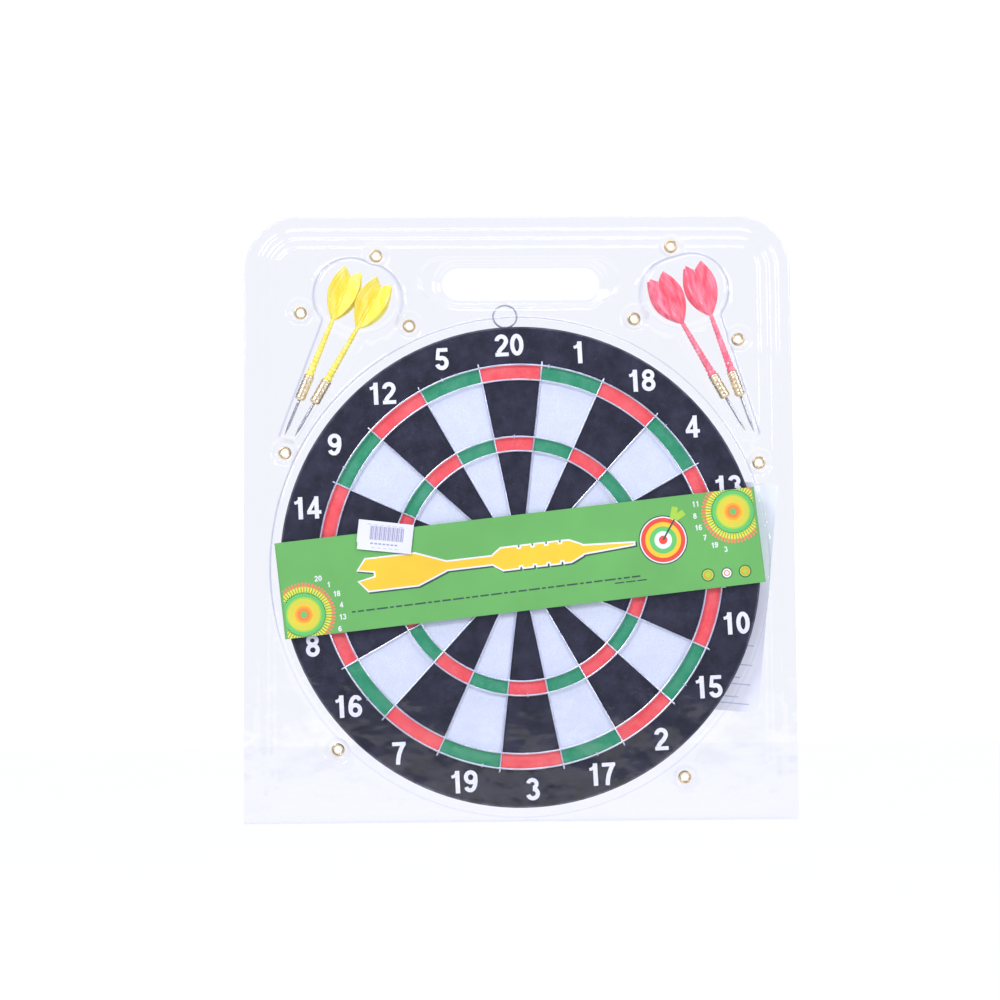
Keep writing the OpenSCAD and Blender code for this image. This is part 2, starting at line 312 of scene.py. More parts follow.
# ---- Materials ----
class Nodes:
    """A short way to write a node material."""

    def __init__(self, name):
        self.mat = bpy.data.materials.new(name)
        self.mat.use_nodes = True
        self.tree = self.mat.node_tree
        self.tree.nodes.clear()
        self.out = self.new("ShaderNodeOutputMaterial")

    def new(self, kind, **values):
        node = self.tree.nodes.new(kind)
        for key, value in values.items():
            if key.startswith("_"):
                setattr(node, key[1:], value)
            else:
                node.inputs[key.replace("__", " ")].default_value = value
        return node

    def link(self, a, b):
        self.tree.links.new(a, b)

    def coords(self, scale=(1, 1, 1)):
        """Object coordinates in millimetres, stretched."""
        source = self.new("ShaderNodeTexCoord").outputs["Object"]
        mapping = self.new("ShaderNodeMapping")
        mapping.inputs["Scale"].default_value = [1000 * s for s in scale]
        self.link(source, mapping.inputs["Vector"])
        return mapping.outputs["Vector"]

    def noise(self, scale, detail=3, rough=0.5, stretch=(1, 1, 1)):
        """Noise with about scale waves a millimetre."""
        node = self.new("ShaderNodeTexNoise", Scale=scale, Detail=detail, Roughness=rough)
        self.link(self.coords(stretch), node.inputs["Vector"])
        return node.outputs["Fac"]

    def ramp(self, fac, stops):
        node = self.new("ShaderNodeValToRGB")
        elements = node.color_ramp.elements
        while len(elements) < len(stops):
            elements.new(0.5)
        for e, (at, colour) in zip(elements, stops):
            e.position = at
            e.color = (*colour, 1) if len(colour) == 3 else colour
        self.link(fac, node.inputs["Fac"])
        return node.outputs["Color"]

    def level(self, fac, low, high, a, b):
        """fac from low..high mapped to a..b."""
        node = self.new("ShaderNodeMapRange")
        for key, value in (("From Min", low), ("From Max", high), ("To Min", a), ("To Max", b)):
            node.inputs[key].default_value = value
        self.link(fac, node.inputs["Value"])
        return node.outputs["Result"]

    def power(self, value, exponent):
        node = self.new("ShaderNodeMath", _operation="POWER")
        self.link(value, node.inputs[0])
        node.inputs[1].default_value = exponent
        return node.outputs[0]

    def blend(self, fac, a, b):
        """Colour mix; a and b are sockets or colours."""
        node = self.new("ShaderNodeMix", _data_type="RGBA")
        for key, value in ((6, a), (7, b)):
            if isinstance(value, (tuple, list)):
                node.inputs[key].default_value = (*value, 1)
            else:
                self.link(value, node.inputs[key])
        if isinstance(fac, float):
            node.inputs[0].default_value = fac
        else:
            self.link(fac, node.inputs[0])
        return node.outputs[2]

    def bump(self, height, strength, distance):
        node = self.new("ShaderNodeBump", Strength=strength, Distance=distance * MM)
        self.link(height, node.inputs["Height"])
        return node.outputs["Normal"]

    def finish(self, colour, rough, normal=None, **constants):
        """A Principled surface; colour and rough are sockets or values."""
        bsdf = self.new("ShaderNodeBsdfPrincipled")
        for key, value in (("Base Color", colour), ("Roughness", rough)):
            if isinstance(value, (tuple, list)):
                bsdf.inputs[key].default_value = (*value, 1)
            elif isinstance(value, (int, float)):
                bsdf.inputs[key].default_value = value
            else:
                self.link(value, bsdf.inputs[key])
        for key, value in constants.items():
            bsdf.inputs[key.replace("_", " ")].default_value = value
        if normal is not None:
            self.link(normal, bsdf.inputs["Normal"])
        self.link(bsdf.outputs[0], self.out.inputs["Surface"])
        return self.mat


def shades(colour, low, high):
    """A colour darkened by one factor and lightened by another."""
    return [c * low for c in colour], [min(1, c * high) for c in colour]


def clear_sheet():
    """Thin clear PVC: see-through with a faint blue cast, deeper where it is seen edge on, and glossy."""
    n = Nodes("clear_sheet")
    ripple = n.noise(0.045, 2, 0.4)
    fine = n.noise(0.6, 2, 0.5)
    normal = n.bump(ripple, 0.55, 0.9)
    facing = n.new("ShaderNodeLayerWeight", Blend=0.5)
    n.link(normal, facing.inputs["Normal"])
    edge = n.power(facing.outputs["Facing"], 2.5)
    tint = n.ramp(edge, [(0, (0.984, 0.987, 1.0)), (0.5, (0.955, 0.962, 1.0)), (1, (0.86, 0.875, 0.97))])
    clear = n.new("ShaderNodeBsdfTransparent")
    n.link(tint, clear.inputs["Color"])
    gloss = n.new("ShaderNodeBsdfGlossy")
    gloss.inputs["Color"].default_value = (1, 1, 1, 1)
    n.link(n.level(fine, 0.3, 0.7, 0.06, 0.1), gloss.inputs["Roughness"])
    n.link(normal, gloss.inputs["Normal"])
    shine = n.level(n.power(facing.outputs["Facing"], 5), 0.0, 1.0, 0.03, 0.42)
    both = n.new("ShaderNodeMixShader")
    n.link(shine, both.inputs[0])
    n.link(clear.outputs[0], both.inputs[1])
    n.link(gloss.outputs[0], both.inputs[2])
    n.link(both.outputs[0], n.out.inputs["Surface"])
    return n.mat


def printed_paper(name, colour, worn, rough=0.62):
    """Print on tightly wound paper: fine fibres along the winding, pale rubbed specks."""
    n = Nodes(name)
    fibre = n.noise(1.4, 4, 0.65)
    cloud = n.noise(0.06, 3, 0.6)
    specks = n.noise(0.35, 6, 0.72)
    tone = n.blend(n.level(fibre, 0.35, 0.65, 0.0, 1.0), *shades(colour, 0.86, 1.1))
    cloudy = n.blend(n.level(cloud, 0.4, 0.72, 0.0, 0.5), tone, worn)
    rubbed = n.blend(n.level(specks, 0.56, 0.74, 0.0, 0.75), cloudy, worn)
    return n.finish(
        rubbed,
        n.level(fibre, 0.3, 0.7, rough - 0.04, rough + 0.14),
        n.bump(fibre, 0.35, 0.1),
        Specular_IOR_Level=0.25,
    )


def card(name, colour, rough=0.42):
    """Printed card with a satin coat and a slight paper tooth."""
    n = Nodes(name)
    tooth = n.noise(1.1, 3, 0.6)
    cloud = n.noise(0.02, 2, 0.5)
    tone = n.blend(n.level(cloud, 0.35, 0.7, 0.0, 1.0), *shades(colour, 0.95, 1.06))
    uneven = n.level(tooth, 0.3, 0.7, rough - 0.06, rough + 0.08)
    return n.finish(tone, uneven, n.bump(tooth, 0.25, 0.05))


def wire_metal(name, colour, rough):
    """Drawn steel wire, streaked along its length and slightly dulled."""
    n = Nodes(name)
    streak = n.noise(0.9, 3, 0.6)
    dull = n.noise(0.08, 2, 0.5)
    tone = n.blend(n.level(dull, 0.35, 0.7, 0.0, 1.0), colour, [c * 0.78 for c in colour])
    uneven = n.level(streak, 0.3, 0.7, rough - 0.06, rough + 0.12)
    return n.finish(tone, uneven, n.bump(streak, 0.3, 0.04), Metallic=1.0)


def brass(name, colour, stain, rough):
    """Brass with soft stains and fine tool marks."""
    n = Nodes(name)
    patch = n.noise(0.35, 4, 0.6)
    marks = n.noise(2.2, 2, 0.5)
    tone = n.blend(n.level(patch, 0.45, 0.72, 0.0, 1.0), colour, stain)
    uneven = n.level(patch, 0.35, 0.7, rough, rough + 0.16)
    return n.finish(tone, uneven, n.bump(marks, 0.25, 0.04), Metallic=1.0)


def moulded(name, colour, deep):
    """Glossy moulded plastic that lets a little light in, with faint flow marks."""
    n = Nodes(name)
    flow = n.noise(0.13, 2, 0.5, (1.5, 1.5, 0.35))
    grain = n.noise(1.6, 2, 0.5)
    tone = n.blend(n.level(flow, 0.35, 0.65, 0.0, 1.0), colour, deep)
    return n.finish(
        tone,
        n.level(grain, 0.3, 0.7, 0.1, 0.17),
        n.bump(flow, 0.6, 1.2),
        Subsurface_Weight=0.08,
        Subsurface_Radius=(0.003, 0.0012, 0.0006),
        Specular_IOR_Level=0.7,
    )


def floor_paint():
    """A pale lit floor that burns out to white and takes only a faint shadow."""
    n = Nodes("floor_paint")
    cloud = n.noise(0.004, 2, 0.5)
    tone = n.blend(n.level(cloud, 0.3, 0.7, 0.0, 1.0), (0.13, 0.13, 0.14), (0.15, 0.15, 0.155))
    return n.finish(tone, 0.8, Emission_Color=(1, 1, 1, 1), Emission_Strength=0.95, Specular_IOR_Level=0.0)


CLEAR = clear_sheet()
PRINT_BLACK = printed_paper("print_black", (0.004, 0.004, 0.011), (0.045, 0.045, 0.08))
PRINT_WHITE = printed_paper("print_white", (0.7, 0.75, 0.85), (0.6, 0.64, 0.76))
PRINT_RED = printed_paper("print_red", (0.92, 0.085, 0.09), (0.92, 0.22, 0.22))
PRINT_GREEN = printed_paper("print_green", (0.02, 0.29, 0.13), (0.12, 0.4, 0.25))
PRINT_NUMBER = printed_paper("print_number", (0.88, 0.89, 0.93), (0.7, 0.72, 0.8))
BOARD_EDGE = printed_paper("board_edge", (0.04, 0.04, 0.06), (0.22, 0.22, 0.26), 0.75)
BOARD_BACK = printed_paper("board_back", (0.04, 0.04, 0.055), (0.075, 0.075, 0.095), 0.8)
CARD_GREEN = card("card_green", (0.15, 0.47, 0.1))
INK_COLOURS = {
    "yellow": (0.95, 0.62, 0.02),
    "lime": (0.42, 0.68, 0.05),
    "orange": (0.95, 0.25, 0.03),
    "red": (0.86, 0.08, 0.03),
    "green": (0.14, 0.6, 0.14),
    "white": (0.9, 0.9, 0.9),
    "dark": (0.03, 0.09, 0.05),
    "straw": (0.72, 0.68, 0.05),
    "amber": (0.92, 0.42, 0.03),
    "lemon": (0.93, 0.78, 0.04),
    "coral": (0.95, 0.24, 0.1),
}
INKS = [card(f"ink_{name}", colour) for name, colour in INK_COLOURS.items()]
INK = {name: i for i, name in enumerate(INK_COLOURS)}
INK_GREY = card("ink_grey", (0.3, 0.3, 0.45))
INK_FAINT = card("ink_faint", (0.5, 0.52, 0.68))
PAPER = card("label_paper", (0.68, 0.7, 0.8), 0.5)
LEAFLET_PAPER = card("leaflet_paper", (0.9, 0.91, 0.94), 0.55)
WIRE = wire_metal("spider_wire", (0.88, 0.91, 1.0), 0.3)
RING_WIRE = wire_metal("ring_wire", (0.46, 0.47, 0.56), 0.34)
STEEL = wire_metal("point_steel", (0.6, 0.6, 0.62), 0.24)
EYELET_BRASS = brass("eyelet_brass", (0.88, 0.7, 0.4), (0.52, 0.38, 0.2), 0.26)
BARREL_BRASS = brass("barrel_brass", (0.96, 0.83, 0.55), (0.75, 0.58, 0.32), 0.3)
YELLOW = moulded("yellow_plastic", (1.0, 0.92, 0.2), (1.0, 0.78, 0.03))
RED = moulded("red_plastic", (1.0, 0.33, 0.4), (0.98, 0.11, 0.16))


# ---- The cover: one formed sheet whose depth is a smooth function of the place ----
def edge_distance(x, z):
    """How far inside the pack's outline a place is."""
    side = PACK_HALF - abs(x)
    top = PACK_TOP - z
    if side < CORNER_R and top < CORNER_R:
        return CORNER_R - math.hypot(CORNER_R - side, CORNER_R - top)
    return min(side, top, z - PACK_BOTTOM)


def dart_axis(i, s):
    """The place on a dart's axis at a distance from its point."""
    x, z, lean = DARTS[i]
    return x + s * math.sin(math.radians(lean)), z + s * math.cos(math.radians(lean))


def capsule_distance(p, a, b, ra, rb):
    """Distance outside two circles joined by straight sides, and negative within."""
    dx, dz = b[0] - a[0], b[1] - a[1]
    t = ((p[0] - a[0]) * dx + (p[1] - a[1]) * dz) / (dx * dx + dz * dz)
    t = min(1, max(0, t))
    return math.hypot(p[0] - a[0] - t * dx, p[1] - a[1] - t * dz) - mix(ra, rb, t)


def bulge_ends(first):
    """The two centres of the bulge over a pair of flights."""
    a, b = dart_axis(first, BULGE_Z), dart_axis(first + 1, BULGE_Z)
    n = math.hypot(b[0] - a[0], b[1] - a[1])
    dx, dz = (b[0] - a[0]) / n * BULGE_HALF, (b[1] - a[1]) / n * BULGE_HALF
    mx, mz = (a[0] + b[0]) / 2, (a[1] + b[1]) / 2
    return (mx - dx, mz - dz), (mx + dx, mz + dz)


BULGES = [bulge_ends(0), bulge_ends(2)]
CHANNEL_NEAR_R, CHANNEL_FAR_R = 5.5, 9
MIDDLE_EXTRA_R = 3
STEMS = [(dart_axis(i, 0), dart_axis(i, FIN_Z)) for i in range(4)]
# Between two darts the channel is filled by a third run down the middle
MIDDLES = [
    (tuple((a + b) / 2 for a, b in zip(STEMS[f][0], STEMS[f + 1][0])),
     tuple((a + b) / 2 for a, b in zip(STEMS[f][1], STEMS[f + 1][1])))
    for f in (0, 2)
]


def slot_ends(at, half):
    """The centres of a level slot's two round ends."""
    return (at[0] - half, at[1]), (at[0] + half, at[1])


HANDLE = slot_ends(HANDLE_AT, HANDLE_HALF)
RECESS = slot_ends(RECESS_AT, RECESS_HALF)


def channel_distance(p):
    """Distance outside the channels over the points, barrels and stems."""
    found = [capsule_distance(p, a, b, CHANNEL_NEAR_R, CHANNEL_FAR_R) for a, b in STEMS]
    found += [capsule_distance(p, a, b, CHANNEL_NEAR_R, CHANNEL_FAR_R + MIDDLE_EXTRA_R) for a, b in MIDDLES]
    return min(found)


def bulge_distance(p):
    """Distance outside the two bulges over the flights."""
    return min(capsule_distance(p, a, b, BULGE_R, BULGE_R) for a, b in BULGES)


def wave(x, z, scale, seed):
    """A smooth uneven value from -1 to 1 that varies over the sheet."""
    return noise.noise(Vector((x * scale, z * scale, seed)))


def cover_depth(x, z):
    """Depth of the cover's outer face, from its stepped rim to the dimples under the eyelets."""
    p = (x, z)
    e = edge_distance(x, z)
    d, under = RIM_D, RIM_D
    for inset, depth in TERRACES:
        d += (depth - under) * smooth(inset - 1.5, inset + 2, e)
        under = depth
    # The loose sheet is never quite flat, and is ribbed along the top
    loose = smooth(9, 15, e)
    d += loose * (0.3 * wave(x, z, 0.014, 3.1) + 0.12 * wave(x, z, 0.06, 7.7))
    d += 0.16 * math.sin(e * 1.25) * smooth(10, 14, e) * smooth(44, 34, e) * smooth(225, 262, z)
    for at in MOULD_MARKS:
        d -= 0.7 * (1 - smooth(0.5, 2.6, math.hypot(x - at[0], z - at[1])))
    round_in = 1 - smooth(BOARD_POCKET_R - 1.3, BOARD_POCKET_R + 2.6, math.hypot(x, z))
    if round_in > 0:
        # The sheet over the board sags unevenly, except under the labels
        calm = smooth(20, 55, math.hypot(x - LABEL_MIDDLE[0], z - LABEL_MIDDLE[1]))
        sag = 0.2 + 0.16 * wave(x, z, 0.011, 5.3) + 0.05 * wave(x, z, 0.05, 1.2)
        d += (BOARD_POCKET_D - calm * max(0, sag) - d) * round_in
    run = 1 - smooth(-3.5, 1, channel_distance(p))
    d += (CHANNEL_D + 0.2 * wave(x, z, 0.05, 2.2) - d) * run
    rise = min(1, max(0, (bulge_distance(p) + 6) / 8))
    dome = BULGE_D - 0.15 + 0.15 * wave(x, z, 0.04, 9.4)
    d += max(0, dome - d) * (1 - rise ** 3.4)
    inside = 1 - smooth(-1.4, 0.2, capsule_distance(p, *RECESS, RECESS_R, RECESS_R))
    d += min(0, RECESS_D - d) * inside
    grip = capsule_distance(p, *HANDLE, HANDLE_R, HANDLE_R)
    d += min(0, 3 - d) * (1 - smooth(6, 8, grip))
    d += (RIM_D - d) * (1 - smooth(HANDLE_LAND - 0.4, HANDLE_LAND + 1.2, grip))
    for at in EYELETS:
        r = math.hypot(x - at[0], z - at[1])
        if r < PUCKER_R:
            d = mix(DIMPLE_D, d, smooth(6.2, PUCKER_R, r))
    return min(d, BULGE_D)


class Points:
    """Places for the cover's mesh, kept apart from each other by at least a given distance."""

    def __init__(self, keep):
        self.places, self.cells, self.keep = [], {}, keep

    def near(self, x, z, gap):
        """Whether a place is closer than the gap to one that is already there."""
        cx, cz = math.floor(x / 3), math.floor(z / 3)
        for i in (cx - 1, cx, cx + 1):
            for k in (cz - 1, cz, cz + 1):
                for q in self.cells.get((i, k), ()):
                    if math.hypot(q[0] - x, q[1] - z) < gap:
                        return True
        return False

    def add(self, x, z):
        self.cells.setdefault((math.floor(x / 3), math.floor(z / 3)), []).append((x, z))
        self.places.append((x, z))
        return len(self.places) - 1

    def scatter(self, places, gap):
        for x, z in places:
            if self.keep(x, z) and not self.near(x, z, gap):
                self.add(x, z)


def circle_points(at, r, step):
    """Points round a circle, about a step apart."""
    n = max(8, round(2 * math.pi * r / step))
    return [polar(at, r, 2 * math.pi * k / n) for k in range(n)]


def capsule_points(a, b, ra, rb, step):
    """Points round two circles joined by straight sides, in order."""
    length = math.hypot(b[0] - a[0], b[1] - a[1])
    turn = math.atan2(b[1] - a[1], b[0] - a[0])
    ux, uz = math.cos(turn), math.sin(turn)
    found = []
    n = max(1, round(length / step))
    for side in (-1, 1):
        for k in range(n):
            t = k / n if side < 0 else 1 - k / n
            r = mix(ra, rb, t) * side
            found.append((mix(a[0], b[0], t) - uz * r, mix(a[1], b[1], t) + ux * r))
        end, r, start = (b, rb, -math.pi / 2) if side < 0 else (a, ra, math.pi / 2)
        m = max(3, round(math.pi * r / step))
        for k in range(m):
            found.append(polar(end, r, turn + start + math.pi * k / m))
    return found


def outline_points(inset, low, step):
    """Points round the pack's outline at an inset, in order from the lower left corner."""
    half, high, r = PACK_HALF - inset, PACK_TOP - inset, CORNER_R - inset
    bend = [polar((half - r, high - r), r, k * math.pi / 24) for k in range(13)]
    corners = [(-half, low), (half, low)] + bend + [(-x, z) for x, z in reversed(bend)]
    found = []
    for (ax, az), (bx, bz) in zip(corners, corners[1:] + corners[:1]):
        n = max(1, round(math.hypot(bx - ax, bz - az) / step))
        found += [(mix(ax, bx, k / n), mix(az, bz, k / n)) for k in range(n)]
    return found


def hole_edges(points):
    """Adds the outline, the handle opening and the eyelet holes, and returns their edges."""
    loops = [outline_points(0, COVER_LOW, 3)]
    loops.append(capsule_points(*HANDLE, HANDLE_R, HANDLE_R, 2))
    loops += [circle_points(at, EYELET_HOLE_R, 1.2) for at in EYELETS]
    edges = []
    for loop in loops:
        ids = [points.add(x, z) for x, z in loop]
        edges += list(zip(ids, ids[1:] + ids[:1]))
    return edges


def in_a_hole(x, z):
    handle = capsule_distance((x, z), *HANDLE, HANDLE_R, HANDLE_R)
    return handle < 0.01 or any(math.hypot(x - ex, z - ez) < EYELET_HOLE_R + 0.01 for ex, ez in EYELETS)


def scatter_around_features(points):
    """Rows of places that follow each bend of the sheet, closest together where it turns most."""
    dimple_radii = (4.6, 5.4, 6.2, 7, 7.8, 8.8, 9.8, 10.8, 12)
    handle_rows = (0.7, 1.4, 2.2, 2.6, 3, 3.4, 3.8, 5, 6, 6.7, 7.3, 8)
    recess_rows = (-2.2, -1.4, -1, -0.6, -0.2, 0.2, 1)
    bulge_rows = (-11, -8.5, -6, -4.6, -3.4, -2.4, -1.5, -0.7, 0, 0.6, 1.1, 1.6, 2, 2.8)
    channel_rows = (-4.4, -3.5, -2.8, -2.1, -1.4, -0.7, 0, 0.6, 1.1, 1.8)
    pocket_rows = (-4, -2.2, -1.3, -0.8, -0.3, 0.2, 0.7, 1.2, 1.7, 2.2, 2.7, 3.8)
    for at in EYELETS:
        for r in dimple_radii:
            points.scatter(circle_points(at, r, 1.4), 0.5)
    for off in handle_rows:
        points.scatter(capsule_points(*HANDLE, HANDLE_R + off, HANDLE_R + off, 2.2), 0.36)
    for off in recess_rows:
        points.scatter(capsule_points(*RECESS, RECESS_R + off, RECESS_R + off, 2.2), 0.36)
    for ends in BULGES:
        for off in bulge_rows:
            ring = capsule_points(*ends, BULGE_R + off, BULGE_R + off, 2.4)
            points.scatter([p for p in ring if bulge_distance(p) > off - 0.1], 0.4)
    for i, ends in enumerate(STEMS + MIDDLES):
        wide = CHANNEL_FAR_R + (MIDDLE_EXTRA_R if i >= len(STEMS) else 0)
        for off in channel_rows:
            ring = capsule_points(*ends, CHANNEL_NEAR_R + off, wide + off, 2)
            ring = [p for p in ring if channel_distance(p) > off - 0.1 and bulge_distance(p) > -1]
            points.scatter(ring, 0.4)
    for off in pocket_rows:
        points.scatter(circle_points((0, 0), BOARD_POCKET_R + off, 2.6), 0.42)


def scatter_over_sheet(points):
    """Rows along the terraces and the ribs above them, the mould marks, and an even field for the rest."""
    terrace_rows = (2, 4.5, 7, 9, 9.8, 10.6, 11.4, 12.5, 14, 16.5, 17.4, 18.2, 19, 20, 21.5, 23, 24.5)
    terrace_rows += (25.4, 26.2, 27, 28, 30)
    rib_rows = (31.5, 33, 34.5, 36, 37.5, 39, 40.5)
    for inset in terrace_rows:
        points.scatter(outline_points(inset, PACK_BOTTOM + inset, 3), 0.6)
    for inset in rib_rows:
        row = outline_points(inset, PACK_BOTTOM + inset, 4)
        points.scatter([p for p in row if p[1] > RIBS_Z], 1)
    for at in MOULD_MARKS:
        for r in (0.1, 0.9, 1.7, 2.6, 3.4):
            points.scatter(circle_points(at, r, 0.9), 0.4)
    pitch_x, pitch_z = 5, 4.3
    for k in range(round((PACK_TOP - PACK_BOTTOM) / pitch_z)):
        z = PACK_BOTTOM + pitch_z * k
        points.scatter([(-PACK_HALF + pitch_x * i + 2.5 * (k % 2), z) for i in range(90)], 2)


def cover_sheet():
    """The formed clear cover with its handle opening and eyelet holes."""
    points = Points(lambda x, z: z > COVER_LOW + 0.3 and edge_distance(x, z) > 0.3)
    edges = hole_edges(points)
    scatter_around_features(points)
    scatter_over_sheet(points)
    verts, _, faces, _, _, _ = delaunay_2d_cdt([Vector(p) for p in points.places], edges, [], 0, 1e-4)
    kept = []
    for f in faces:
        x = sum(verts[i].x for i in f) / 3
        z = sum(verts[i].y for i in f) / 3
        if z >= COVER_LOW and edge_distance(x, z) >= 0 and not in_a_hole(x, z):
            kept.append(tuple(f))
    used = sorted({i for f in kept for i in f})
    index = {old: new for new, old in enumerate(used)}
    built = [place(verts[i].x, verts[i].y, cover_depth(verts[i].x, verts[i].y)) for i in used]
    faces = [tuple(index[i] for i in f) for f in kept]
    cover = piece(
        "cover_sheet", built, faces, [CLEAR],
        body="cover", slot="clear_sheet", replaces=["front_shell"], solid=False,
    )
    thick = cover.modifiers.new("thickness", "SOLIDIFY")
    thick.thickness = SHEET_T * MM
    thick.offset = -1


def fold_strip():
    """The strip of sheet at the fold, from the back sheet to the cover, as it lies when the pack is shut."""
    r, half, t = 0.25, PACK_HALF - 0.3, 0.1
    back_d, front_d = 0.4, 0.92
    path = [(0.42, FOLD_Z + 0.9), (back_d, FOLD_Z + 0.3)]
    path += [polar((FOLD_D, FOLD_Z), -r, k * math.pi / 10) for k in range(11)]
    path += [(front_d, FOLD_Z + 0.3), (1.0, FOLD_Z + 1.3)]
    verts, faces = [], []
    n, m = 40, len(path)
    for k in range(n + 1):
        x = mix(-half, half, k / n)
        for side in (-1, 1):
            for i, (d, z) in enumerate(path):
                ahead, behind = path[min(i + 1, m - 1)], path[max(i - 1, 0)]
                ad, az = ahead[0] - behind[0], ahead[1] - behind[1]
                size = math.hypot(ad, az)
                verts.append(place(x, z + side * t * ad / size, d - side * t * az / size))
    for k in range(n):
        a, b = 2 * m * k, 2 * m * (k + 1)
        for i in range(m - 1):
            faces.append((a + i, a + i + 1, b + i + 1, b + i))
            faces.append((a + m + i + 1, a + m + i, b + m + i, b + m + i + 1))
        faces.append((a, b, b + m, a + m))
        faces.append((a + m - 1, a + 2 * m - 1, b + 2 * m - 1, b + m - 1))
    last = 2 * m * n
    faces.append(tuple(range(m)) + tuple(reversed(range(m, 2 * m))))
    faces.append(tuple(reversed(range(last, last + m))) + tuple(range(last + m, last + 2 * m)))
    strip = mesh_object("fold_strip", verts, faces, [CLEAR])
    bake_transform(strip)


# ---- The board: print, numerals, wires, staples and ring ----
def on_board(x, z, d):
    """Board drawing coordinates, with the 20 at the top, to a place."""
    return place(*turned(x, z, BOARD_TURN), d)


def arc(cx, cy, rx, ry, start, end):
    """Points along part of an ellipse, from one angle to another in degrees."""
    n = max(6, round(abs(end - start) / 12))
    angles = [math.radians(mix(start, end, k / n)) for k in range(n + 1)]
    return [(cx + rx * math.cos(a), cy + ry * math.sin(a)) for a in angles]


def digit_strokes(digit):
    """The strokes of a bold plain digit, DIGIT_W wide and 1 high, each as (points, width, closed)."""
    six = [(0.1, 0.34), (0.098, 0.5), (0.13, 0.68), (0.19, 0.82)]
    six += [(0.28, 0.895), (0.38, 0.885), (0.45, 0.82), (0.475, 0.74)]
    two_foot = [(0.36, 0.46), (0.23, 0.32), (0.13, 0.15)]
    six_bowl = arc(0.285, 0.315, 0.185, 0.222, 0, 360)[:-1]
    shapes = {
        "0": [(arc(0.28, 0.5, 0.182, 0.403, 0, 360)[:-1], 0.19, True)],
        "1": [
            ([(0.36, 0), (0.36, 1)], 0.2, False),
            ([(0.13, 0.735), (0.24, 0.765), (0.36, 0.9)], 0.14, False),
        ],
        "2": [
            (arc(0.28, 0.7, 0.183, 0.206, 178, -28) + two_foot, 0.19, False),
            ([(0.02, 0.085), (0.545, 0.085)], 0.17, False),
        ],
        "3": [
            (arc(0.27, 0.728, 0.165, 0.178, 168, -82), 0.18, False),
            (arc(0.275, 0.3, 0.19, 0.208, 88, -168), 0.19, False),
        ],
        "4": [
            ([(0.4, 0.95), (0.08, 0.34)], 0.15, False),
            ([(0.01, 0.29), (0.57, 0.29)], 0.16, False),
            ([(0.39, 0), (0.39, 1)], 0.19, False),
        ],
        "5": [
            ([(0.11, 0.915), (0.53, 0.915)], 0.17, False),
            ([(0.165, 0.93), (0.115, 0.47)], 0.16, False),
            (arc(0.285, 0.325, 0.188, 0.23, 128, -166), 0.19, False),
        ],
        "6": [(six, 0.185, False), (six_bowl, 0.185, True)],
        "7": [
            ([(0.02, 0.915), (0.545, 0.915)], 0.17, False),
            ([(0.455, 0.9), (0.36, 0.7), (0.27, 0.45), (0.225, 0.2), (0.213, 0)], 0.19, False),
        ],
        "8": [
            (arc(0.28, 0.728, 0.168, 0.178, 0, 360)[:-1], 0.175, True),
            (arc(0.28, 0.302, 0.19, 0.21, 0, 360)[:-1], 0.185, True),
        ],
        "9": [
            ([(DIGIT_W - x, 1 - y) for x, y in six], 0.185, False),
            ([(DIGIT_W - x, 1 - y) for x, y in six_bowl], 0.185, True),
        ],
    }
    return shapes[digit]


def draw_number(build, text, height, near, far, lay, slot=0):
    """A number centred on the origin, as strokes that each stand a hair above the last."""
    step, wide = 0.69, 0.64
    start = -(step * (len(text) - 1) + wide) / 2
    for n, digit in enumerate(text):
        for k, (path, width, closed) in enumerate(digit_strokes(digit)):
            path = [((start + step * n + x * wide / DIGIT_W) * height, (y - 0.5) * height) for x, y in path]
            left, right = [], []
            for i, (x, y) in enumerate(path):
                bx, by = path[i - 1] if i or closed else path[i]
                ax, ay = path[(i + 1) % len(path)] if i < len(path) - 1 or closed else path[i]
                size = math.hypot(ax - bx, ay - by)
                ox = -(ay - by) / size * width * height / 2
                oy = (ax - bx) / size * width * height / 2
                left.append((x + ox, y + oy))
                right.append((x - ox, y - oy))
            build.ribbon(left, right, near, far + 0.012 * k, lay, closed, slot)


